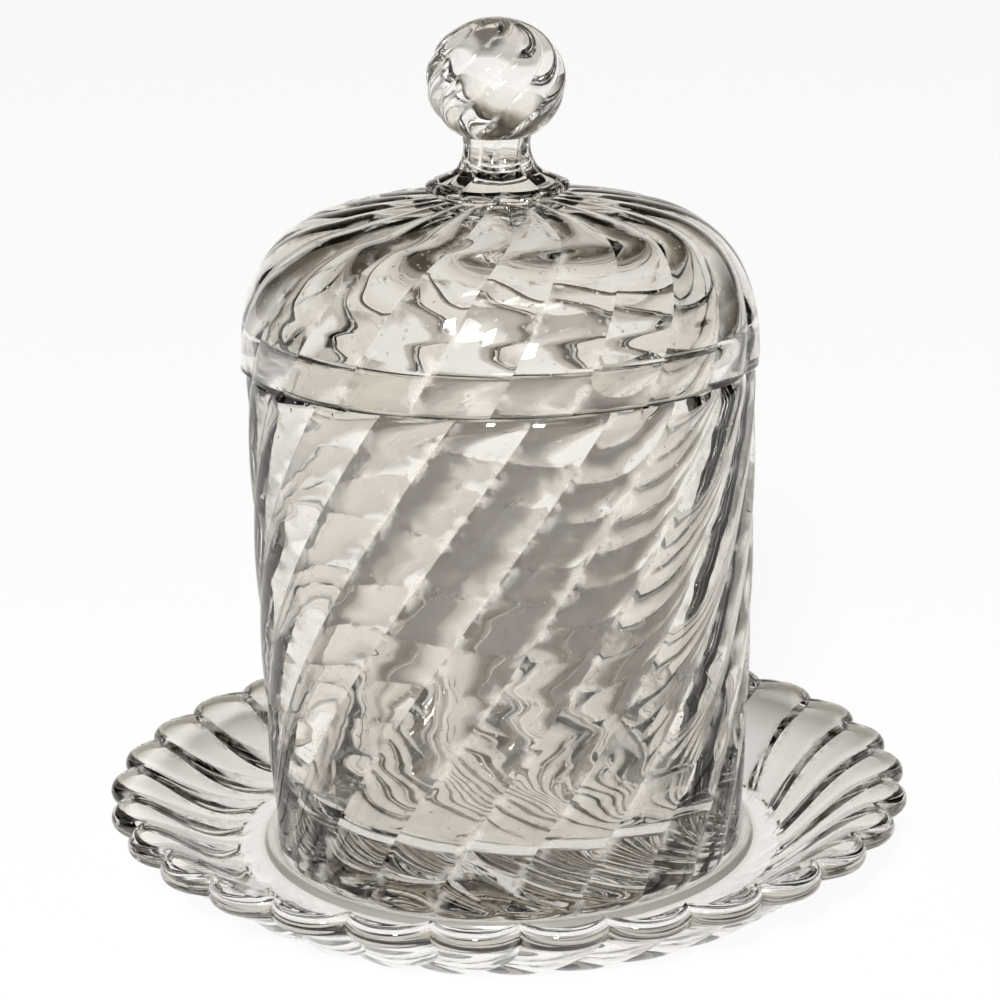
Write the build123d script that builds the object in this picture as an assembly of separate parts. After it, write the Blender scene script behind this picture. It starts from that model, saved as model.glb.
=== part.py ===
from build123d import *
import os
from math import acos, atan, cos, degrees, radians, sin, sqrt

# Covered candy dish in swirled pressed glass: an underplate, a ribbed jar, a domed lid and the
# ball finial that is fused to it. Lengths are millimetres, angles are degrees and +Z is up. The
# origin is the middle of the underplate's foot, on the table. Angles run anticlockwise from +X.

# Numbers of ribs round each piece
plate_lobe_count = 30
jar_rib_count = 21
lid_rib_count = 21
finial_rib_count = 10

# Flats that make up one lobe or rib, and rings of them along each long run
plate_flats = 4
rib_flats = 3
plate_rings = 6
dish_rings = 8
jar_rings = 18
dome_rings = 10
crown_rings = 6
hollow_rings = 8
ball_rings = 22

# Underplate
plate_radius = 82.7
plate_height = 18.7
plate_foot_radius = 57.8
plate_lip_height = 4.3
plate_lip_bulge = 1.9
plate_floor_height = 5.3
plate_floor_radius = 53.5
plate_flute_fade = 10.0
plate_groove_depth = 1.25
plate_flute_depth = 0.85
plate_rim_scallop = 3.7
plate_groove_angle = 7.2
plate_swirl_angle = 19.0
plate_swirl_width = 22.4
plate_straight_width = 8.5
plate_foot_width = 8.8
plate_foot_share = 0.8
plate_recess_depth = 0.8
plate_land_width = 0.5
plate_edge_width = 3.0
plate_well_depth = 0.3
ring_radius = 1.5
ring_height = 1.3
ring_margin = 0.6
ring_tuck = 0.4

# Jar
jar_height = 102.1
jar_foot_radius = 48.5
jar_top_radius = 51.0
jar_flare_power = 2.2
jar_groove_depth = 1.0
jar_groove_angle = -143.2
jar_foot_round_height = 4.0
jar_foot_round_width = 2.4
jar_shoulder_round_height = 3.6
jar_shoulder_round_width = 1.4
jar_foot_swirl_rate = 0.34
jar_side_swirl_rate = 0.806
jar_swirl_ease_height = 19.0
jar_base_thickness = 12.0
jar_bore_radius = 45.2
jar_bore_draft = 2.6
jar_bore_corner = 7.0
collar_wall = 2.6
collar_height = 7.4
collar_round = 1.1
base_hollow_radius = 39.0
base_hollow_depth = 2.2
base_star_depth = 0.9
base_star_swirl = 34.0
base_star_centre = 0.15

# Lid
lid_radius = 52.05
lid_skirt_height = 2.5
lid_edge_chamfer = 0.7
lid_side_arc = 36.0
lid_side_angle = 24.0
lid_shoulder_arc = 21.0
lid_shoulder_angle = 75.0
lid_crown_arc = 110.0
lid_crown_radius = 12.5
lid_groove_depth = 0.75
lid_groove_angle = -161.3
lid_swirl_rate = 0.61
lid_crown_swirl_rate = 0.25
lid_crown_swirl_start = 40.0
lid_dome_wall = 4.4

# Finial
finial_pad_radius = 11.0
finial_foot_radius = 14.4
finial_foot_lift = 0.9
finial_foot_thickness = 2.2
finial_foot_scallop = 0.9
finial_stem_radius = 7.7
finial_stem_height = 6.3
finial_neck_radius = 6.8
finial_neck_height = 12.0
finial_ball_radius = 13.8
finial_ball_half_height = 12.3
finial_rib_depth = 0.5
finial_groove_angle = 19.0
finial_stem_swirl = 8.0
finial_ball_swirl = 112.0
finial_ball_top = 0.995

# Clearances
jar_to_ring_clearance = 0.5
lid_to_collar_clearance = 0.5

# Sizes that follow from the ones above
jar_seat = plate_floor_height - plate_well_depth
lid_seat = jar_seat + jar_height
collar_radius = jar_bore_radius + collar_wall
ring_inside_radius = jar_foot_radius - ring_tuck * jar_foot_round_width + jar_to_ring_clearance
ring_centre_radius = ring_inside_radius + ring_radius


def polar(radius, angle, height):
    return Vector(radius * cos(radians(angle)), radius * sin(radians(angle)), height)


def lobed_ring(station, count, flats):
    """Points round a closed ring of rounded lobes that meet in sharp grooves.

    A station is (crest radius, crest height, groove depth, lean, groove angle). The groove lies
    inside the crest by its depth, along a line that leans up from the horizontal. Each lobe is
    an arc, taken as a few flats.
    """
    radius, height, depth, lean, first_groove = station
    groove_radius = radius - depth * cos(radians(lean))
    groove_height = height - depth * sin(radians(lean))
    pitch = 360 / count
    points = []
    for index in range(count):
        start = first_groove + index * pitch
        lobe = Edge.make_three_point_arc(
            polar(groove_radius, start, groove_height),
            polar(radius, start + pitch / 2, height),
            polar(groove_radius, start + pitch, groove_height),
        )
        points += [lobe @ (step / flats) for step in range(flats)]
    return points


def folded(strip):
    """The two triangles of a four-cornered strip that share its shorter diagonal."""
    first, second, third, fourth = strip
    if (first - third).length < (second - fourth).length:
        return [[first, second, third], [first, third, fourth]]
    return [[first, second, fourth], [second, third, fourth]]


def lobed_solid(stations, count, flats):
    """Solid through a stack of lobed rings, closed by its first and last rings, which are level."""
    rings = [lobed_ring(station, count, flats) for station in stations]
    outlines = [rings[0], rings[-1]]
    for low, high in zip(rings, rings[1:]):
        for here in range(len(low)):
            after = (here + 1) % len(low)
            outlines += folded([low[here], low[after], high[after], high[here]])
    return Solid(Shell([Face(Wire.make_polygon(outline, close=True)) for outline in outlines]))


def spread(first, last, count):
    return [first + (last - first) * index / (count - 1) for index in range(count)]


def spread_out(first, last, count):
    """Like spread, but closer together at the first end, where the plate's swirl is quickest."""
    return [first + (last - first) * share**1.3 for share in spread(0, 1, count)]


def ease(share):
    return share * share * (3 - 2 * share)


# Underplate

def plate_turn(radius):
    """Groove angle: the lobes run straight out at the rim and sweep back near the ring."""
    inside = max(0.0, plate_radius - plate_straight_width - radius) / plate_swirl_width
    return plate_groove_angle - plate_swirl_angle * inside ** 2


def slope_station(height_at, radius, depth):
    """Station on a flank that rises outwards, with its groove square to the flank."""
    step = 0.05
    rise = (height_at(radius + step) - height_at(radius - step)) / (2 * step)
    lean = degrees(atan(rise)) - 90
    return (radius, height_at(radius), depth, lean, plate_turn(radius))


def underside_height(radius):
    flank_width = plate_radius - plate_foot_radius
    share = min(1.0, max(0.0, (radius - plate_foot_radius) / flank_width))
    return (plate_height - plate_lip_height) * ease(share)


def flute_height(radius):
    dish_width = plate_radius - plate_floor_radius
    share = min(1.0, max(0.0, (radius - plate_floor_radius) / dish_width))
    return plate_floor_height + (plate_height - plate_floor_height) * ease(share)


def plate_outside():
    """Rings up the lobed outside: flat foot, rising flank and rounded lip."""
    lip_radius = plate_radius - plate_lip_bulge
    lip_middle = plate_height - plate_lip_height / 2
    foot_depth = plate_foot_share * plate_groove_depth
    stations = [(plate_foot_radius, 0, foot_depth, 0, plate_turn(plate_foot_radius))]
    for radius in spread_out(plate_foot_radius, lip_radius - plate_lip_bulge, plate_rings)[1:]:
        stations.append(slope_station(underside_height, radius, plate_groove_depth))
    for angle in (-50, -5, 45, 90):
        radius = lip_radius + plate_lip_bulge * cos(radians(angle))
        height = lip_middle + plate_lip_height / 2 * sin(radians(angle))
        stations.append((radius, height, plate_rim_scallop, 0, plate_groove_angle))
    return stations


def plate_inside():
    """Rings down the inside: a flute over each lobe, fading out on the floor outside the ring."""
    floor_edge = ring_centre_radius + ring_radius + ring_margin
    edge_radius = plate_radius - plate_lip_bulge - plate_land_width
    rim = (edge_radius, plate_height, plate_rim_scallop, 0, plate_groove_angle)
    stations = []
    for radius in spread_out(floor_edge, edge_radius - plate_edge_width, dish_rings)[1:]:
        depth = plate_flute_depth * min(1.0, (radius - floor_edge) / plate_flute_fade)
        stations.append(slope_station(flute_height, radius, depth))
    floor = (floor_edge, plate_floor_height, 0, 0, plate_turn(floor_edge))
    return [rim] + stations[::-1] + [floor]


def plate_ring():
    """Raised ring that the jar stands inside, taken as a few flats round its top."""
    middle = plate_floor_height + ring_height - ring_radius
    outline = []
    for angle in (-20, 20, 60, 120, 160, 200):
        radius = ring_centre_radius + ring_radius * cos(radians(angle))
        outline.append((radius, 0, middle + ring_radius * sin(radians(angle))))
    return revolve(make_face(Polyline(*outline, close=True)), Axis.Z)


def make_underplate():
    base = (Align.CENTER, Align.CENTER, Align.MIN)
    saucer = lobed_solid(plate_outside() + plate_inside(), plate_lobe_count, plate_flats)
    well = Pos(0, 0, jar_seat) * Cylinder(ring_centre_radius, plate_height, align=base)
    recess_radius = plate_foot_radius - plate_foot_width
    recess = Cone(recess_radius, recess_radius - 2 * plate_recess_depth, plate_recess_depth, align=base)
    return saucer - well - recess + plate_ring()


# Jar

def jar_turn(height):
    """Groove angle: steep at the foot, then an even helix up the side."""
    eased = min(height, jar_swirl_ease_height)
    rate_gain = (jar_side_swirl_rate - jar_foot_swirl_rate) / (2 * jar_swirl_ease_height)
    foot_turn = jar_foot_swirl_rate * eased + rate_gain * eased ** 2
    return jar_groove_angle + foot_turn + jar_side_swirl_rate * (height - eased)


def jar_side_radius(height):
    share = min(1.0, max(0.0, (height - jar_foot_round_height) / (jar_height - jar_foot_round_height)))
    return jar_top_radius - (jar_top_radius - jar_foot_radius) * (1 - share) ** jar_flare_power


def jar_station(height, inset):
    radius = jar_side_radius(height) - inset
    return (radius, jar_seat + height, jar_groove_depth, 0, jar_turn(height))


def base_star():
    """Rings out across the hollow under the base, in a swirled star that carries on the ribs."""
    stations = []
    for share in (base_star_centre, 0.3, 0.5, 0.75, 1.0):
        fade = min(1 - share**2, 4 * (share - base_star_centre))
        height = jar_seat + base_hollow_depth * (1 - share**2)
        turn = jar_groove_angle - base_star_swirl * (1 - share)
        stations.append((share * base_hollow_radius, height, base_star_depth * fade, 80, turn))
    return stations


def jar_outside():
    """Rings up the ribbed outside, with each rib rounded over at the foot and the shoulder."""
    stations = []
    for angle in (0, 30, 60):
        height = jar_foot_round_height * (1 - cos(radians(angle)))
        stations.append(jar_station(height, jar_foot_round_width * (1 - sin(radians(angle)))))
    shoulder_start = jar_height - jar_shoulder_round_height
    for height in spread(jar_foot_round_height, shoulder_start, jar_rings):
        stations.append(jar_station(height, 0))
    for angle in (40, 65, 90):
        height = shoulder_start + jar_shoulder_round_height * sin(radians(angle))
        stations.append(jar_station(height, jar_shoulder_round_width * (1 - cos(radians(angle)))))
    return stations


def jar_collar_and_bore():
    """Plain mouth that the lid drops over, then the tapered hollow with its rounded corner."""
    floor = jar_seat + jar_base_thickness
    top = lid_seat + collar_height
    eased = 0.3 * collar_round
    corner_middle = jar_bore_radius - jar_bore_draft - jar_bore_corner
    profile = [
        (collar_radius, lid_seat),
        (collar_radius, top - collar_round),
        (collar_radius - eased, top - eased),
        (collar_radius - collar_round, top),
        (jar_bore_radius + collar_round, top),
        (jar_bore_radius + eased, top - eased),
        (jar_bore_radius, top - collar_round),
    ]
    for angle in (90, 60, 30, 0):
        radius = corner_middle + jar_bore_corner * sin(radians(angle))
        profile.append((radius, floor + jar_bore_corner * (1 - cos(radians(angle)))))
    return [(radius, height, 0, 0, jar_turn(jar_height)) for radius, height in profile]


def make_jar():
    return lobed_solid(base_star() + jar_outside() + jar_collar_and_bore(), jar_rib_count, rib_flats)


# Lid

def dome_point(length, inset):
    """Radius, height and lean of the lid's profile, a length up from its edge.

    The profile is a straight skirt and three arcs that follow on smoothly: side, shoulder, crown.
    """
    radius = lid_radius
    height = lid_seat + lid_skirt_height
    left = length - lid_skirt_height
    if left <= 0:
        return (radius - inset, lid_seat + length, 0.0)
    lean = 0.0
    spans = (
        (lid_side_arc, lid_side_angle),
        (lid_shoulder_arc, lid_shoulder_angle),
        (lid_crown_arc, 90.0),
    )
    for arc, end_lean in spans:
        end = min(end_lean, lean + degrees(left / arc))
        radius -= arc * (cos(radians(lean)) - cos(radians(end)))
        height += arc * (sin(radians(end)) - sin(radians(lean)))
        left -= arc * radians(end - lean)
        lean = end
        if left <= 1e-9:
            break
    return (radius - inset * cos(radians(lean)), height - inset * sin(radians(lean)), lean)


def dome_length():
    """Length of the lid's profile from its edge to the flat under the finial."""
    shoulder_length = lid_shoulder_arc * radians(lid_shoulder_angle - lid_side_angle)
    length = lid_skirt_height + lid_side_arc * radians(lid_side_angle) + shoulder_length
    crown_start_radius = dome_point(length, 0)[0]
    crown_cosine = cos(radians(lid_shoulder_angle)) - (crown_start_radius - lid_crown_radius) / lid_crown_arc
    return length + lid_crown_arc * (acos(crown_cosine) - radians(lid_shoulder_angle))


def lid_turn(length):
    """Groove angle: the ribs lean over the shoulder, then run nearly straight to the finial."""
    steep = min(length, lid_crown_swirl_start)
    crown = lid_crown_swirl_rate * (length - steep)
    return lid_groove_angle + lid_swirl_rate * steep + crown


def lid_outside():
    """Rings up the ribbed outside, from the eased edge to the flat under the finial."""
    total = dome_length()
    edge_radius = lid_radius - lid_edge_chamfer
    stations = [(edge_radius, lid_seat, lid_groove_depth, 0, lid_turn(0))]
    dome = spread(lid_skirt_height, lid_crown_swirl_start, dome_rings)
    crown = spread(lid_crown_swirl_start, total, crown_rings)[1:-1]
    for length in [lid_edge_chamfer] + dome + crown:
        radius, height, lean = dome_point(length, 0)
        depth = lid_groove_depth * (0.25 + 0.75 * radius / lid_radius)
        stations.append((radius, height, depth, lean, lid_turn(length)))
    radius, height, _ = dome_point(total, 0)
    return stations + [(radius, height, 0, 0, lid_turn(total))]


def lid_inside():
    """Rings down the smooth inside: the dome, a small step, and a skirt that clears the collar."""
    skirt_radius = collar_radius + lid_to_collar_clearance
    step_height = lid_seat + collar_height + lid_to_collar_clearance
    first = lid_skirt_height + lid_side_arc * radians(lid_side_angle) / 2
    dome = [dome_point(length, lid_dome_wall) for length in spread(dome_length(), first, hollow_rings)]
    profile = [(radius, height) for radius, height, _ in dome]
    profile += [(skirt_radius, step_height), (skirt_radius, lid_seat)]
    return [(radius, height, 0, 0, lid_turn(0)) for radius, height in profile]


def make_lid():
    return lobed_solid(lid_inside() + lid_outside(), lid_rib_count, rib_flats)


# Finial

def finial_profile():
    """Crest radius, height above the lid and share of the rib depth, up to the neck."""
    foot_bottom = finial_foot_lift
    foot_top = finial_foot_lift + finial_foot_thickness
    neck_start = finial_stem_height + 2.1
    return [
        (finial_pad_radius, 0, 0.3),
        (finial_foot_radius - 1.0, foot_bottom, 0.9),
        (finial_foot_radius, foot_bottom + 0.4 * finial_foot_thickness, 1.0),
        (finial_foot_radius - 0.5, foot_top, 1.0),
        (finial_stem_radius + 3.0, foot_top + 1.3, 0.8),
        (finial_stem_radius, finial_stem_height, 0.6),
        (finial_neck_radius, neck_start, 0.5),
        (finial_neck_radius - 0.1, (neck_start + finial_neck_height) / 2, 0.5),
    ]


def make_finial():
    """Scalloped foot, waisted stem and swirled ball in one gather of glass."""
    lid_top = dome_point(dome_length(), 0)[1]
    rim_depth = finial_foot_scallop
    stations = []
    for radius, height, share in finial_profile():
        turn = finial_groove_angle + finial_stem_swirl * height / finial_neck_height
        stations.append((radius, lid_top + height, share * rim_depth, 0, turn))
    neck_sine = -sqrt(1 - (finial_neck_radius / finial_ball_radius) ** 2)
    ball_middle = finial_neck_height - finial_ball_half_height * neck_sine
    for sine in spread(neck_sine, finial_ball_top, ball_rings):
        radius = finial_ball_radius * sqrt(1 - sine ** 2)
        height = ball_middle + finial_ball_half_height * sine
        share = (sine - neck_sine) / (finial_ball_top - neck_sine)
        turn = finial_groove_angle + finial_stem_swirl + finial_ball_swirl * share
        depth = finial_rib_depth * radius / finial_ball_radius
        stations.append((radius, lid_top + height, depth, 0, turn))
    return lobed_solid(stations, finial_rib_count, rib_flats)


def main():
    os.makedirs("parts", exist_ok=True)
    pieces = {
        "underplate": make_underplate(),
        "jar": make_jar(),
        "lid": make_lid(),
        "finial": make_finial(),
    }
    for name, piece in pieces.items():
        export_step(piece, f"parts/{name}.step")


main()
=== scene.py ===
from math import acos, atan, cos, degrees, pi, radians, sin, sqrt

import bmesh
import bpy
from mathutils import Euler, Matrix, Vector


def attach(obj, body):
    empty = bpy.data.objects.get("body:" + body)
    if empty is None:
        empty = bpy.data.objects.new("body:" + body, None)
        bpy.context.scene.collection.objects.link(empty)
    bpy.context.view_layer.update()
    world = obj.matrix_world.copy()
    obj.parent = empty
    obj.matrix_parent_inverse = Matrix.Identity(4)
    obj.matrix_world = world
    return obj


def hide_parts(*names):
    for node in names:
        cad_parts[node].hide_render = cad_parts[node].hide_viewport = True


# Covered candy dish in swirled pressed crystal: underplate, jar, and a lid with its ball finial.
# Glass sizes are millimetres and angles are degrees. Each piece is one closed stack of rings:
# the underplate and the jar go up the outside and down the inside, and the lid goes down the
# inside and up the outside to the top of its ball.

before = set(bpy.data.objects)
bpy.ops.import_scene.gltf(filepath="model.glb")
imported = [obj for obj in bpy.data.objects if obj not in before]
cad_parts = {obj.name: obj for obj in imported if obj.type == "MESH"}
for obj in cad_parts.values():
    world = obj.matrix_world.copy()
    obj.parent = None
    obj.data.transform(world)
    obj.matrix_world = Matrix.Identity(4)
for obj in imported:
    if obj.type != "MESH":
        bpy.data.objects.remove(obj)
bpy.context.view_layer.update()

MM = 0.001

# Ribs, points round each ring, and the angle up to which faces are shaded smooth
plate_lobes = 30
jar_ribs = 21
finial_ribs = 10
plate_points = 360
jar_and_lid_points = 210
smooth_angle = 13

# Underplate. The recess's edge lists radius and height, the foot's edge outward, height and depth.
plate_radius = 82.6
plate_height = 18.7
plate_recess_depth = 0.8
plate_recess_radii = (4, 12, 22, 32, 40, 46)
plate_recess_edge = ((47.6, 0.7), (48.4, 0.25), (49.2, 0.0), (53.0, 0.0))
plate_foot_radius = 57.8
plate_foot_edge = ((-0.6, 0.0, 0.8), (0.0, 0.25, 1.0))
plate_underside_start = 1.0
plate_underside_end = 1.2
plate_underside_count = 18
plate_lip_height = 4.3
plate_lip_bulge = 1.9
plate_lip_flat = 0.5
plate_floor_height = 5.3
plate_floor_radius = 53.5
plate_floor_margin = 0.6
plate_floor_radii = (47, 42, 34, 24, 14, 5)
plate_flute_start = 2.6
plate_flute_end = 0.8
plate_flute_count = 26
plate_flute_fade = 10.0
plate_flute_depth = 0.85
plate_groove_depth = 1.25
plate_rim_scallop = 3.7
plate_groove_angle = 7.2
plate_straight_width = 8.5
plate_swirl_angle = 19.0
plate_swirl_width = 22.4
slope_reach = 0.05

# The raised ring of the underplate that locates the jar
seat_ring_radius = 1.5
seat_ring_centre_radius = 49.54
seat_ring_middle_height = 5.1

# Jar
jar_seat = 5.0
jar_seat_gap = 0.03
jar_height = 102.1
jar_foot_radius = 48.5
jar_top_radius = 51.0
jar_flare_power = 2.2
jar_side_count = 56
jar_groove_depth = 1.0
jar_groove_angle = -143.2
jar_foot_round_height = 2.8
jar_foot_round_width = 1.9
jar_shoulder_round_height = 3.6
jar_shoulder_round_width = 1.4
jar_foot_swirl_rate = 0.34
jar_side_swirl_rate = 0.806
jar_swirl_ease_height = 19.0
jar_floor_height = 17.0
jar_floor_radii = (28, 20, 12, 5)
jar_bore_radius = 45.2
jar_bore_draft = 2.6
jar_bore_corner = 7.0
jar_bore_count = 30
collar_radius = 47.8
collar_height = 7.4
collar_round = 1.1
collar_fillet = 0.4
collar_side_start = 1.5
collar_side_count = 4
base_flat_radius = 43.5
base_flat_groove_depth = 0.3
base_hollow_radius = 39.0
base_hollow_depth = 2.2
base_star_radii = (4, 6, 9, 12, 16, 20, 25, 29, 33, 36, 38)
base_star_depth = 0.9
base_star_fade = 9
base_star_lean = 80
base_star_swirl = 34.0

# Lid. The middle of its inside lists radius and rise, and the step above its skirt outward and rise.
lid_seat = 107.1
lid_radius = 52.0
lid_skirt_height = 2.5
lid_edge_chamfer = 0.7
lid_edge_lengths = [0.35, 0.7]
lid_side_arc = 36.0
lid_side_angle = 24.0
lid_shoulder_arc = 21.0
lid_shoulder_angle = 75.0
lid_crown_arc = 110.0
lid_crown_radius = 12.5
lid_outside_start = 1.2
lid_outside_end = 2
lid_outside_count = 50
lid_last_groove = 0.8
lid_last_groove_share = 0.2
lid_groove_depth = 0.75
lid_crown_groove_share = 0.25
lid_groove_angle = -161.3
lid_swirl_rate = 0.61
lid_crown_swirl_rate = 0.25
lid_crown_swirl_start = 40.0
lid_dome_wall = 4.4
lid_inside_count = 34
lid_inside_middle = ((3, 0.2), (7, 0.1))
lid_step_height = 115.0
lid_step_blend = 6.0
lid_step_rings = ((-0.35, 0.5), (-0.08, -0.5))
skirt_inside_radius = 48.3
skirt_start = 1.6
skirt_end = 0.4
skirt_count = 6
skirt_edge_round = 0.3

# Finial
finial_pad_radius = 11.0
finial_pad_margin = 0.6
finial_foot_radius = 14.4
finial_foot_lift = 0.9
finial_foot_thickness = 2.2
finial_foot_scallop = 0.9
finial_stem_radius = 7.7
finial_stem_height = 6.3
finial_waist_lift = 2.1
finial_neck_radius = 6.8
finial_neck_height = 12.0
finial_ball_radius = 13.8
finial_ball_half_height = 12.3
finial_ball_top = 0.995
finial_ball_count = 44
finial_rib_depth = 0.85
finial_groove_angle = -125.0
finial_stem_swirl = 8.0
finial_ball_swirl = 112.0

# Arcs of rings: first angle, last angle and number of rings
plate_lip_arc = (-58, 90, 15)
seat_ring_arc = (8, 184, 12)
jar_foot_arc = (0, 78, 7)
jar_shoulder_arc = (15, 90, 6)
jar_corner_arc = (80, 0, 9)
collar_arc = (20, 160, 8)

# Grime in the grooves, painted shade on the underplate's ring where the jar stands, and a painted brown
# shade round the outside of its lip
grime_full_depth = 0.5
grime_narrowness = 3.5
# Painted shade on the underplate's ring where the jar stands, and how far it reaches across and down
plate_ring_painted_shade = 0.55
plate_ring_shade_margin = 0.1
plate_ring_shade_drop = 0.2
# Painted brown shade round the outside of the plate's lip
lip_painted_shade_level = 1.0

# Crystal: its colours, and the socket values of its textures, which scale in metres
glass_tint = (0.928, 0.908, 0.872, 1)
# The second colour is that of the dirt in the grooves, and also of the painted shade on the
# underplate's ring and lip
grime_and_shade_tint = (0.36, 0.33, 0.27, 1)
wave_scale = (22, 22, 110)
wave_detail = 0.6
wave_distance = 0.0015
wave_strength = {"To Min": 0.08, "To Max": 0.8}
seed_scale = 420
seed_size = {"From Min": 0.05, "From Max": 0.13}
seed_bump = {"Strength": 0.15, "Distance": 0.0002}
dust_scale = 260
dust_detail = 6.0
dust_patches = {"From Min": 0.49, "From Max": 0.68}
# Dirt in the grooves and the painted shade on the underplate's ring make the glass rougher and less
# clear
roughness_by_grime_and_ring_shade = {"To Min": 0.012, "To Max": 0.4}
clearness_by_grime_and_ring_shade = {"To Min": 1.0, "To Max": 0.35}

# Table: its share of white to the camera, and to the glass by metres from the middle, which under the
# dish is a painted pool of light
table_size = 12.0
table_colour = (0.90, 0.89, 0.87, 1)
floor_white_seen = 0.93
floor_white_and_painted_pool_in_glass = (
    (0.0, (0.85, 0.85, 0.85, 1)),
    (0.05, (0.85, 0.85, 0.85, 1)),
    (0.082, (0.65, 0.65, 0.65, 1)),
    (0.11, (0.03, 0.03, 0.03, 1)),
    (0.38, (0.03, 0.03, 0.03, 1)),
    (0.47, (1, 1, 1, 1)),
)

# Room as glass and light meet it: a colour by height, times a share by distance to the side
room_from_horizon_up = (
    (0.0, (0.95, 0.93, 0.89, 1)),
    (0.24, (0.85, 0.82, 0.77, 1)),
    (0.37, (0.26, 0.225, 0.17, 1)),
    (0.54, (0.045, 0.034, 0.022, 1)),
    (1.0, (0.14, 0.115, 0.08, 1)),
)
room_from_middle_out = (
    (0.0, (1, 1, 1, 1)),
    (0.45, (1, 1, 1, 1)),
    (0.72, (0.06, 0.052, 0.04, 1)),
)

# Lamps: place, aim and size in metres, and power in watts
lamps = (
    ("key_box", (-0.12, -1.10, 0.72), (0, 0, 0.08), (0.18, 0.18), 30),
    ("top_box", (0.10, -0.55, 1.10), (0, 0, 0.09), (0.24, 0.10), 0.6),
    ("left_box", (-1.1, 0.25, 0.5), (0, 0, 0.08), (0.5, 0.7), 0.6),
)

# Camera
camera_place = (0, -0.57158, 0.24258)
camera_pitch = 16.144
camera_yaw = 0.063
camera_roll = -1.016
camera_lens = 105.53
camera_sensor_width = 36.0

# Sockets of a colour mix
mix_share = 0
mix_first = 6
mix_second = 7
mix_result = 2


# Rings of glass
def spread(first, last, count):
    return [first + (last - first) * step / (count - 1) for step in range(count)]


def ease(share):
    return share * share * (3 - 2 * share)


def station(radius, height, depth=0.0, lean=0.0, turn=0.0, lobes=jar_ribs):
    """One ring of the mould: crest radius and height, groove depth, lean, turn, number of lobes."""
    return (radius, height, depth, lean, turn, lobes)


def ring_points(ring, count):
    """Points of one ring: each lobe is an arc from groove to groove, seen from the axis."""
    radius, height, depth, lean, turn, lobes = ring
    half = pi / lobes
    inward = depth * cos(radians(lean))
    downward = depth * sin(radians(lean))
    groove_radius = radius - inward
    centre = (radius ** 2 - groove_radius ** 2) / (2 * (radius - groove_radius * cos(half)))
    points = []
    for step in range(count):
        angle = ((step * lobes / count) % 1.0 - 0.5) * 2 * half
        share = (sin(angle) / sin(half)) ** 2
        reach = radius - inward * share
        if lean == 0:
            arc = radius - centre
            reach = centre * cos(angle) + sqrt(arc ** 2 - (centre * sin(angle)) ** 2)
        place = radians(turn) + 2 * pi * step / count
        rise = (height - downward * share) * MM
        points.append((reach * cos(place) * MM, reach * sin(place) * MM, rise))
    return points


def key_of(place):
    """A place to a tenth of a micron, to find the same point again."""
    return tuple(round(value * 1e7) for value in place)


def close_middle():
    bpy.ops.mesh.extrude_edges_move()
    bpy.ops.mesh.merge(type="CENTER")


def press(name, rings, count):
    """A closed piece of glass, extruded from ring to ring and set on the mould's curves."""
    bpy.ops.object.select_all(action="DESELECT")
    bpy.ops.mesh.primitive_circle_add(vertices=count, radius=rings[0][0] * MM)
    piece = bpy.context.object
    piece.name = name
    bpy.ops.object.mode_set(mode="EDIT")
    mesh = bmesh.from_edit_mesh(piece.data)
    mesh.verts.ensure_lookup_table()
    loop = sorted(mesh.verts, key=lambda corner: corner.index)
    for ring in rings:
        if ring is not rings[0]:
            before = {key_of(corner.co): step for step, corner in enumerate(loop)}
            bpy.ops.mesh.extrude_edges_move()
            mesh = bmesh.from_edit_mesh(piece.data)
            loop = sorted((c for c in mesh.verts if c.select), key=lambda c: before[key_of(c.co)])
        for corner, place in zip(loop, ring_points(ring, count)):
            corner.co = place
    bmesh.update_edit_mesh(piece.data)
    close_middle()
    bpy.ops.mesh.select_all(action="DESELECT")
    bpy.ops.mesh.select_mode(type="EDGE")
    bpy.ops.mesh.select_non_manifold()
    close_middle()
    bpy.ops.mesh.select_all(action="SELECT")
    bpy.ops.mesh.normals_make_consistent(inside=False)
    bpy.ops.object.mode_set(mode="OBJECT")
    return piece


def mark(piece, name, values):
    """Stores a value for each point of the rings, and 0 for the two middle points."""
    values += [0.0] * (len(piece.data.vertices) - len(values))
    piece.data.attributes.new(name, "FLOAT", "POINT").data.foreach_set("value", values)


def mark_grooves(piece, rings, count):
    """Gives each point its closeness to a groove, where dirt gathers."""
    values = []
    for ring in rings:
        depth, lobes = ring[2], ring[5]
        for step in range(count):
            off = abs((step * lobes / count) % 1.0)
            off = min(off, 1 - off) * 2
            values.append(min(1.0, depth / grime_full_depth) * max(0.0, 1 - grime_narrowness * off))
    mark(piece, "groove", values)


def mark_ring_painted_shade(piece, rings, count):
    """Matt painted shade on the underplate's ring, where the jar stands in it."""
    values = []
    for radius, height, depth, lean, turn, lobes in rings:
        across = abs(radius - seat_ring_centre_radius) < seat_ring_radius + plate_ring_shade_margin
        shaded_ring = lobes == plate_lobes and across and height > seat_ring_middle_height - plate_ring_shade_drop
        values += [plate_ring_painted_shade * shaded_ring] * count
    mark(piece, "ring_painted_shade", values)


def mark_lip_painted_shade(piece, rings, count):
    """A painted brown shade round the outside of the plate's lip."""
    values = []
    for radius, height, depth, lean, turn, lobes in rings:
        outside = depth == plate_rim_scallop and height < plate_height - plate_lip_height / 4
        values += [lip_painted_shade_level * outside] * count
    mark(piece, "lip_painted_shade", values)


def mark_plunger_side(piece, rings, count):
    """Marks the smooth rings, most of them pressed by the plunger, for stronger chill waves."""
    mark(piece, "plunger", [float(ring[2] == 0) for ring in rings for step in range(count)])


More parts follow.
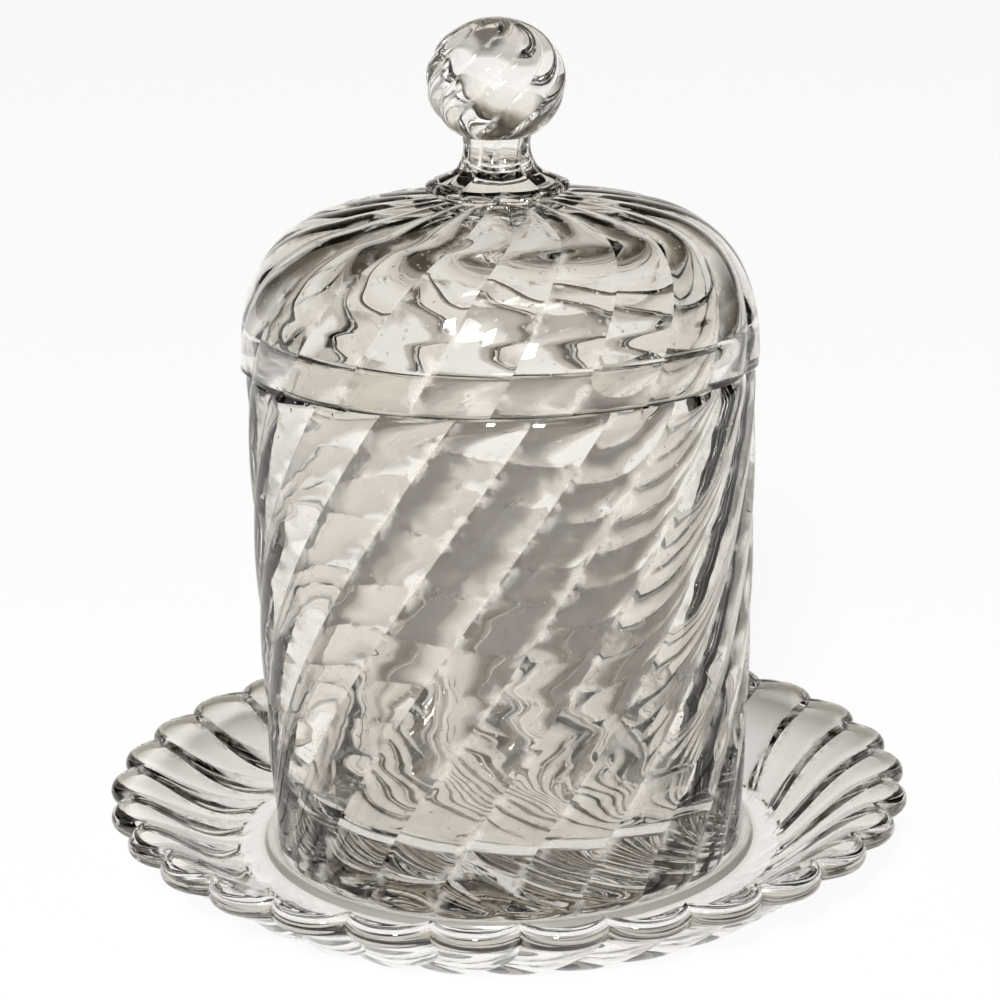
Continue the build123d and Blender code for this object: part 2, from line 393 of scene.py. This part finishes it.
def finish_piece(piece, rings, count):
    mark_grooves(piece, rings, count)
    mark_plunger_side(piece, rings, count)
    mark_ring_painted_shade(piece, rings, count)
    mark_lip_painted_shade(piece, rings, count)
    bpy.ops.object.select_all(action="DESELECT")
    piece.select_set(True)
    bpy.context.view_layer.objects.active = piece
    bpy.ops.object.shade_smooth_by_angle(angle=radians(smooth_angle))


# Underplate
def plate_turn(radius):
    """Grooves run straight in from the lip for a way, then swirl more and more up to the ring."""
    start = plate_radius - plate_straight_width
    inside = max(0.0, start - max(radius, seat_ring_centre_radius)) / plate_swirl_width
    return plate_groove_angle - plate_swirl_angle * inside ** 2


def on_flank(height_at, radius, depth):
    """A ring on a slope, with its grooves pressed square to the slope."""
    climb = height_at(radius + slope_reach) - height_at(radius - slope_reach)
    lean = degrees(atan(climb / (2 * slope_reach))) - 90
    return station(radius, height_at(radius), depth, lean, plate_turn(radius), plate_lobes)


def underside_height(radius):
    share = min(1.0, max(0.0, (radius - plate_foot_radius) / (plate_radius - plate_foot_radius)))
    return (plate_height - plate_lip_height) * ease(share)


def flute_height(radius):
    share = min(1.0, max(0.0, (radius - plate_floor_radius) / (plate_radius - plate_floor_radius)))
    return plate_floor_height + (plate_height - plate_floor_height) * ease(share)


def plate_rings():
    def plain(radius, height):
        return station(radius, height, 0, 0, plate_turn(radius), plate_lobes)

    def scalloped(radius, height):
        return station(radius, height, plate_rim_scallop, 0, plate_groove_angle, plate_lobes)

    rings = [plain(radius, plate_recess_depth) for radius in plate_recess_radii]
    rings += [plain(radius, height) for radius, height in plate_recess_edge]
    foot_turn = plate_turn(plate_foot_radius)
    for outward, height, depth in plate_foot_edge:
        radius = plate_foot_radius + outward
        rings.append(station(radius, height, depth, 0, foot_turn, plate_lobes))
    first = plate_foot_radius + plate_underside_start
    lip_radius = plate_radius - plate_lip_bulge
    for radius in spread(first, lip_radius - plate_underside_end, plate_underside_count):
        rings.append(on_flank(underside_height, radius, plate_groove_depth))
    lip_middle = plate_height - plate_lip_height / 2
    for angle in spread(*plate_lip_arc):
        height = lip_middle + plate_lip_height / 2 * sin(radians(angle))
        rings.append(scalloped(lip_radius + plate_lip_bulge * cos(radians(angle)), height))
    edge_radius = lip_radius - plate_lip_flat
    rings.append(scalloped(edge_radius, plate_height))
    first = edge_radius - plate_flute_start
    floor_edge = seat_ring_centre_radius + seat_ring_radius + plate_floor_margin
    for radius in spread(first, floor_edge + plate_flute_end, plate_flute_count):
        depth = plate_flute_depth * min(1.0, (radius - floor_edge) / plate_flute_fade)
        rings.append(on_flank(flute_height, radius, depth))
    for angle in spread(*seat_ring_arc):
        radius = seat_ring_centre_radius + seat_ring_radius * cos(radians(angle))
        height = seat_ring_middle_height + seat_ring_radius * sin(radians(angle))
        rings.append(plain(radius, height))
    rings += [plain(radius, jar_seat - jar_seat_gap) for radius in plate_floor_radii]
    return rings


# Jar
def jar_turn(height):
    """The ribs start steep at the foot and ease into their full swirl."""
    eased = min(height, jar_swirl_ease_height)
    gain = (jar_side_swirl_rate - jar_foot_swirl_rate) / (2 * jar_swirl_ease_height)
    foot_turn = jar_foot_swirl_rate * eased + gain * eased ** 2
    return jar_groove_angle + foot_turn + jar_side_swirl_rate * (height - eased)


def jar_side(height, inset=0.0):
    span = jar_height - jar_foot_round_height
    share = min(1.0, max(0.0, (height - jar_foot_round_height) / span))
    radius = jar_top_radius - (jar_top_radius - jar_foot_radius) * (1 - share) ** jar_flare_power
    return station(radius - inset, jar_seat + height, jar_groove_depth, 0, jar_turn(height))


def base_star():
    """The hollow under the jar, with its swirled star."""
    rings = []
    for radius in base_star_radii:
        share = 1 - (radius / base_hollow_radius) ** 2
        turn = jar_groove_angle - base_star_swirl * (1 - radius / base_hollow_radius)
        depth = base_star_depth * share * min(1.0, radius / base_star_fade)
        height = jar_seat + base_hollow_depth * share
        rings.append(station(radius, height, depth, base_star_lean, turn))
    return rings


def jar_rings():
    top_turn = jar_turn(jar_height)

    def plain(radius, height):
        return station(radius, height, 0, 0, top_turn)

    rings = base_star()
    rings.append(station(base_hollow_radius, jar_seat, 0, 0, jar_groove_angle))
    rings.append(station(base_flat_radius, jar_seat, base_flat_groove_depth, 0, jar_groove_angle))
    for angle in spread(*jar_foot_arc):
        height = jar_foot_round_height * (1 - cos(radians(angle)))
        rings.append(jar_side(height, jar_foot_round_width * (1 - sin(radians(angle)))))
    shoulder = jar_height - jar_shoulder_round_height
    rings += [jar_side(height) for height in spread(jar_foot_round_height, shoulder, jar_side_count)]
    for angle in spread(*jar_shoulder_arc):
        height = shoulder + jar_shoulder_round_height * sin(radians(angle))
        rings.append(jar_side(height, jar_shoulder_round_width * (1 - cos(radians(angle)))))

    rim = lid_seat + collar_height
    rings.append(plain(collar_radius + collar_fillet, lid_seat))
    rings.append(plain(collar_radius, lid_seat + collar_fillet))
    side = spread(lid_seat + collar_side_start, rim - collar_round, collar_side_count)
    rings += [plain(collar_radius, height) for height in side]
    middle = (collar_radius + jar_bore_radius) / 2
    wall = collar_radius - jar_bore_radius
    for angle in spread(*collar_arc):
        height = rim - collar_round + collar_round * sin(radians(angle))
        rings.append(plain(middle + wall / 2 * cos(radians(angle)), height))

    corner = jar_bore_radius - jar_bore_draft - jar_bore_corner
    for height in spread(rim - collar_round, jar_floor_height + jar_bore_corner, jar_bore_count):
        share = (height - jar_floor_height) / (rim - jar_floor_height)
        rings.append(plain(jar_bore_radius - jar_bore_draft * (1 - share), height))
    for angle in spread(*jar_corner_arc):
        height = jar_floor_height + jar_bore_corner * (1 - cos(radians(angle)))
        rings.append(plain(corner + jar_bore_corner * sin(radians(angle)), height))
    rings += [plain(radius, jar_floor_height) for radius in jar_floor_radii]
    return rings


# Lid and finial
def dome_point(length, inset):
    """Radius, height and lean at a length up the lid's outside, and at an inset from it."""
    radius = lid_radius
    height = lid_seat + lid_skirt_height
    left = length - lid_skirt_height
    if left <= 0:
        return (radius - inset, lid_seat + length, 0.0)
    lean = 0.0
    spans = (
        (lid_side_arc, lid_side_angle),
        (lid_shoulder_arc, lid_shoulder_angle),
        (lid_crown_arc, 90.0),
    )
    for arc, end_lean in spans:
        end = min(end_lean, lean + degrees(left / arc))
        radius -= arc * (cos(radians(lean)) - cos(radians(end)))
        height += arc * (sin(radians(end)) - sin(radians(lean)))
        left -= arc * radians(end - lean)
        lean = end
        if left <= 1e-9:
            break
    return (radius - inset * cos(radians(lean)), height - inset * sin(radians(lean)), lean)


def dome_length():
    """Length of the lid's outside, from its edge to the crown's flat under the finial."""
    shoulder_length = lid_shoulder_arc * radians(lid_shoulder_angle - lid_side_angle)
    length = lid_skirt_height + lid_side_arc * radians(lid_side_angle) + shoulder_length
    start = dome_point(length, 0)[0]
    end_cosine = cos(radians(lid_shoulder_angle)) - (start - lid_crown_radius) / lid_crown_arc
    return length + lid_crown_arc * (acos(end_cosine) - radians(lid_shoulder_angle))


def lid_turn(length):
    steep = min(length, lid_crown_swirl_start)
    return lid_groove_angle + lid_swirl_rate * steep + lid_crown_swirl_rate * (length - steep)


def finial_profile():
    """From the pad to the neck: radius, height above the lid, and share of the foot's scallop."""
    foot_top = finial_foot_lift + finial_foot_thickness
    waist = finial_stem_height + finial_waist_lift
    return [
        (finial_pad_radius, 0.25, 0.1),
        (finial_pad_radius + 0.4, finial_foot_lift - 0.1, 0.5),
        (finial_foot_radius - 1.2, finial_foot_lift, 0.9),
        (finial_foot_radius - 0.3, finial_foot_lift + 0.3, 1.0),
        (finial_foot_radius, finial_foot_lift + 0.9, 1.0),
        (finial_foot_radius - 0.1, finial_foot_lift + 1.5, 1.0),
        (finial_foot_radius - 0.6, foot_top - 0.1, 1.0),
        (finial_foot_radius - 1.8, foot_top + 0.35, 0.95),
        (finial_stem_radius + 3.0, foot_top + 1.1, 0.8),
        (finial_stem_radius + 1.2, foot_top + 1.9, 0.7),
        (finial_stem_radius + 0.3, finial_stem_height - 0.5, 0.6),
        (finial_stem_radius - 0.2, finial_stem_height + 0.4, 0.6),
        (finial_neck_radius + 0.2, waist - 0.6, 0.5),
        (finial_neck_radius - 0.1, waist + 0.6, 0.5),
        (finial_neck_radius - 0.2, (waist + finial_neck_height) / 2 + 0.4, 0.5),
        (finial_neck_radius - 0.1, finial_neck_height - 0.9, 0.5),
    ]


def finial_rings():
    lid_top = dome_point(dome_length(), 0)[1]
    rings = []
    for radius, height, share in finial_profile():
        turn = finial_groove_angle + finial_stem_swirl * height / finial_neck_height
        depth = share * finial_foot_scallop
        rings.append(station(radius, lid_top + height, depth, 0, turn, finial_ribs))
    neck_sine = -sqrt(1 - (finial_neck_radius / finial_ball_radius) ** 2)
    ball_middle = finial_neck_height - finial_ball_half_height * neck_sine
    first = degrees(acos(-neck_sine))
    for angle in spread(first, degrees(acos(-finial_ball_top)), finial_ball_count):
        sine = -cos(radians(angle))
        share = (sine - neck_sine) / (finial_ball_top - neck_sine)
        turn = finial_groove_angle + finial_stem_swirl + finial_ball_swirl * share
        radius = finial_ball_radius * sqrt(1 - sine ** 2)
        depth = finial_rib_depth * radius / finial_ball_radius
        height = lid_top + ball_middle + finial_ball_half_height * sine
        rings.append(station(radius, height, depth, 0, turn, finial_ribs))
    return rings


def lid_rings():
    total = dome_length()

    def plain(radius, height):
        return station(radius, height, 0, 0, lid_turn(0))

    last = lid_step_height - lid_seat + lid_step_blend
    inside = [dome_point(length, lid_dome_wall)[:2] for length in spread(total, last, lid_inside_count)]
    crown = inside[0][1]
    rings = [plain(radius, crown + rise) for radius, rise in lid_inside_middle]
    rings += [plain(radius, height) for radius, height in inside]
    for outward, rise in lid_step_rings:
        rings.append(plain(skirt_inside_radius + outward, lid_step_height + rise))
    skirt = spread(lid_step_height - skirt_start, lid_seat + skirt_end, skirt_count)
    rings += [plain(skirt_inside_radius, height) for height in skirt]
    rings.append(plain(skirt_inside_radius + skirt_edge_round, lid_seat))
    edge = lid_radius - lid_edge_chamfer
    rings.append(station(edge, lid_seat, lid_groove_depth, 0, lid_turn(0)))
    outside = spread(lid_outside_start, total - lid_outside_end, lid_outside_count)
    for length in lid_edge_lengths + outside:
        radius, height, lean = dome_point(length, 0)
        flat = lid_crown_groove_share
        depth = lid_groove_depth * (flat + (1 - flat) * radius / lid_radius)
        rings.append(station(radius, height, depth, lean, lid_turn(length)))
    radius, height, lean = dome_point(total - lid_last_groove, 0)
    depth = lid_last_groove_share * lid_groove_depth
    rings.append(station(radius, height, depth, lean, lid_turn(total)))
    top = dome_point(total, 0)[1]
    rings.append(station(finial_pad_radius + finial_pad_margin, top, 0, 0, lid_turn(total)))
    return rings + finial_rings()


# Nodes
def add_node(tree, kind, name, values=None, **settings):
    """A node of this kind and name, with its settings and the values of its sockets."""
    node = tree.nodes.new(kind)
    node.name = name
    for key, value in settings.items():
        setattr(node, key, value)
    for socket, value in (values or {}).items():
        node.inputs[socket].default_value = value
    return node


def add_ramp(tree, name, stops):
    elements = add_node(tree, "ShaderNodeValToRGB", name).color_ramp.elements
    while len(elements) < len(stops):
        elements.new(0.5)
    for element, (position, colour) in zip(elements, stops):
        element.position = position
        element.color = colour


def wire_up(tree, links):
    """Links node and socket to node and socket, each socket by its name or its number."""
    for out_node, output, in_node, entry in links:
        tree.links.new(tree.nodes[out_node].outputs[output], tree.nodes[in_node].inputs[entry])


# Crystal
def make_crystal():
    """Clear pressed crystal: slow waves in the surface, fine seeds, old dirt in the grooves, and
    painted shade on the underplate's ring and lip.
    """
    crystal = bpy.data.materials.new("pressed_crystal")
    crystal.use_nodes = True
    tree = crystal.node_tree
    tree.nodes.clear()
    add_node(tree, "ShaderNodeOutputMaterial", "out")
    add_node(tree, "ShaderNodeBsdfPrincipled", "glass", {"IOR": 1.52, "Metallic": 0.0})
    add_node(tree, "ShaderNodeTexCoord", "place")
    add_node(tree, "ShaderNodeMapping", "flow", {"Scale": wave_scale})
    add_node(tree, "ShaderNodeTexNoise", "waves", {"Scale": 1.0, "Detail": wave_detail})
    add_node(tree, "ShaderNodeTexVoronoi", "seeds", {"Scale": seed_scale})
    add_node(tree, "ShaderNodeMapRange", "pits", seed_size)
    add_node(tree, "ShaderNodeAttribute", "plunger", attribute_name="plunger")
    add_node(tree, "ShaderNodeMapRange", "chill", wave_strength)
    add_node(tree, "ShaderNodeBump", "sway", {"Distance": wave_distance})
    add_node(tree, "ShaderNodeBump", "fleck", seed_bump)
    add_node(tree, "ShaderNodeAttribute", "groove", attribute_name="groove")
    add_node(tree, "ShaderNodeTexNoise", "dust", {"Scale": dust_scale, "Detail": dust_detail})
    add_node(tree, "ShaderNodeMapRange", "patch", dust_patches)
    # Painted shade on the underplate's ring, joined below to the dirt in the grooves
    add_node(tree, "ShaderNodeAttribute", "ring_painted_shade", attribute_name="ring_painted_shade")
    add_node(tree, "ShaderNodeMath", "dirt", operation="MULTIPLY")
    add_node(tree, "ShaderNodeMath", "grime_and_ring_shade", operation="MAXIMUM")
    # Painted brown shade on the plate's lip, which darkens the colour only
    add_node(tree, "ShaderNodeAttribute", "lip_painted_shade", attribute_name="lip_painted_shade")
    add_node(tree, "ShaderNodeMath", "brown", operation="MAXIMUM")
    tints = {mix_first: glass_tint, mix_second: grime_and_shade_tint}
    add_node(tree, "ShaderNodeMix", "tint", tints, data_type="RGBA")
    add_node(tree, "ShaderNodeMapRange", "rough", roughness_by_grime_and_ring_shade)
    add_node(tree, "ShaderNodeMapRange", "clear", clearness_by_grime_and_ring_shade)
    wire_up(tree, (
        ("place", "Object", "flow", "Vector"),
        ("flow", "Vector", "waves", "Vector"),
        ("place", "Object", "seeds", "Vector"),
        ("place", "Object", "dust", "Vector"),
        ("waves", "Fac", "sway", "Height"),
        ("plunger", "Fac", "chill", "Value"),
        ("chill", "Result", "sway", "Strength"),
        ("seeds", "Distance", "pits", "Value"),
        ("pits", "Result", "fleck", "Height"),
        ("sway", "Normal", "fleck", "Normal"),
        ("fleck", "Normal", "glass", "Normal"),
        ("dust", "Fac", "patch", "Value"),
        ("groove", "Fac", "dirt", 0),
        ("patch", "Result", "dirt", 1),
        ("dirt", "Value", "grime_and_ring_shade", 0),
        ("ring_painted_shade", "Fac", "grime_and_ring_shade", 1),
        ("grime_and_ring_shade", "Value", "brown", 0),
        ("lip_painted_shade", "Fac", "brown", 1),
        ("brown", "Value", "tint", mix_share),
        ("tint", mix_result, "glass", "Base Color"),
        ("grime_and_ring_shade", "Value", "rough", "Value"),
        ("grime_and_ring_shade", "Value", "clear", "Value"),
        ("rough", "Result", "glass", "Roughness"),
        ("clear", "Result", "glass", "Transmission Weight"),
        ("glass", "BSDF", "out", "Surface"),
    ))
    return crystal


# Table, light and camera
def make_table():
    """White to the camera, part white to the glass with a painted pool of light under the dish, and
    plain card to all other rays.
    """
    bpy.ops.mesh.primitive_plane_add(size=table_size, location=(0, 0, 0))
    table = bpy.context.object
    table.name = "white_table"
    paint = bpy.data.materials.new("white_card")
    paint.use_nodes = True
    tree = paint.node_tree
    tree.nodes.clear()
    add_node(tree, "ShaderNodeOutputMaterial", "out")
    add_node(tree, "ShaderNodeBsdfDiffuse", "card", {"Color": table_colour})
    add_node(tree, "ShaderNodeEmission", "glow")
    add_node(tree, "ShaderNodeMixShader", "look")
    add_node(tree, "ShaderNodeTexCoord", "place")
    add_node(tree, "ShaderNodeVectorMath", "distance", operation="LENGTH")
    # Painted pool of light: to the glass, the table glows under the dish
    add_ramp(tree, "by_distance", floor_white_and_painted_pool_in_glass)
    add_node(tree, "ShaderNodeLightPath", "ray")
    add_node(tree, "ShaderNodeMath", "to_camera", {1: floor_white_seen}, operation="MULTIPLY")
    add_node(tree, "ShaderNodeMath", "is_glass", operation="MAXIMUM")
    add_node(tree, "ShaderNodeMath", "to_glass", operation="MULTIPLY")
    add_node(tree, "ShaderNodeMath", "white", operation="MAXIMUM")
    wire_up(tree, (
        ("place", "Object", "distance", 0),
        ("distance", "Value", "by_distance", 0),
        ("ray", "Is Camera Ray", "to_camera", 0),
        ("ray", "Is Glossy Ray", "is_glass", 0),
        ("ray", "Is Transmission Ray", "is_glass", 1),
        ("is_glass", 0, "to_glass", 0),
        ("by_distance", 0, "to_glass", 1),
        ("to_camera", 0, "white", 0),
        ("to_glass", 0, "white", 1),
        ("white", 0, "look", 0),
        ("card", 0, "look", 1),
        ("glow", 0, "look", 2),
        ("look", 0, "out", 0),
    ))
    table.data.materials.append(paint)


def make_room():
    """White to the camera. To glass and light, pale at eye level, and dark above and at each side."""
    room = bpy.data.worlds.new("studio_room")
    bpy.context.scene.world = room
    room.use_nodes = True
    tree = room.node_tree
    tree.nodes.clear()
    add_node(tree, "ShaderNodeOutputWorld", "out")
    add_node(tree, "ShaderNodeBackground", "sky")
    add_node(tree, "ShaderNodeTexCoord", "place")
    add_node(tree, "ShaderNodeSeparateXYZ", "split")
    add_node(tree, "ShaderNodeMath", "side", operation="ABSOLUTE")
    blend = {"data_type": "RGBA", "blend_type": "MULTIPLY"}
    add_node(tree, "ShaderNodeMix", "both", {mix_share: 1.0}, **blend)
    add_ramp(tree, "upward", room_from_horizon_up)
    add_ramp(tree, "outward", room_from_middle_out)
    add_node(tree, "ShaderNodeLightPath", "ray")
    add_node(tree, "ShaderNodeBackground", "white", {"Color": (1, 1, 1, 1)})
    add_node(tree, "ShaderNodeMixShader", "seen")
    wire_up(tree, (
        ("place", "Generated", "split", 0),
        ("split", "X", "side", 0),
        ("split", "Z", "upward", 0),
        ("side", 0, "outward", 0),
        ("upward", 0, "both", mix_first),
        ("outward", 0, "both", mix_second),
        ("both", mix_result, "sky", "Color"),
        ("ray", "Is Camera Ray", "seen", 0),
        ("sky", 0, "seen", 1),
        ("white", 0, "seen", 2),
        ("seen", 0, "out", 0),
    ))


def soft_box(name, place, aim, size, power):
    bpy.ops.object.light_add(type="AREA", location=place)
    lamp = bpy.context.object
    lamp.name = name
    lamp.data.shape = "RECTANGLE"
    lamp.data.size, lamp.data.size_y = size
    lamp.data.energy = power
    toward = Vector(aim) - Vector(place)
    lamp.rotation_euler = toward.to_track_quat("-Z", "Y").to_euler()


def make_camera():
    """Looks down at the dish from the front, with the frame a little off level."""
    bpy.ops.object.camera_add(location=camera_place)
    camera = bpy.context.object
    aim = Euler((radians(90 - camera_pitch), 0, radians(camera_yaw))).to_matrix()
    camera.rotation_euler = (aim @ Matrix.Rotation(radians(camera_roll), 3, "Z")).to_euler()
    camera.data.sensor_width = camera_sensor_width
    camera.data.lens = camera_lens
    bpy.context.scene.camera = camera


# Putting it together
def main():
    crystal = make_crystal()
    pieces = (
        ("underplate_glass", plate_rings(), plate_points, "plate_body", ("underplate",)),
        ("jar_glass", jar_rings(), jar_and_lid_points, "jar_body", ("jar",)),
        ("lid_and_finial_glass", lid_rings(), jar_and_lid_points, "lid_body", ("lid", "finial")),
    )
    for name, rings, count, body, nodes in pieces:
        piece = press(name, rings, count)
        finish_piece(piece, rings, count)
        piece.data.materials.append(crystal)
        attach(piece, body)
        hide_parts(*nodes)
    make_table()
    make_room()
    for lamp in lamps:
        soft_box(*lamp)
    make_camera()
    bpy.context.scene.view_settings.view_transform = "Standard"


main()
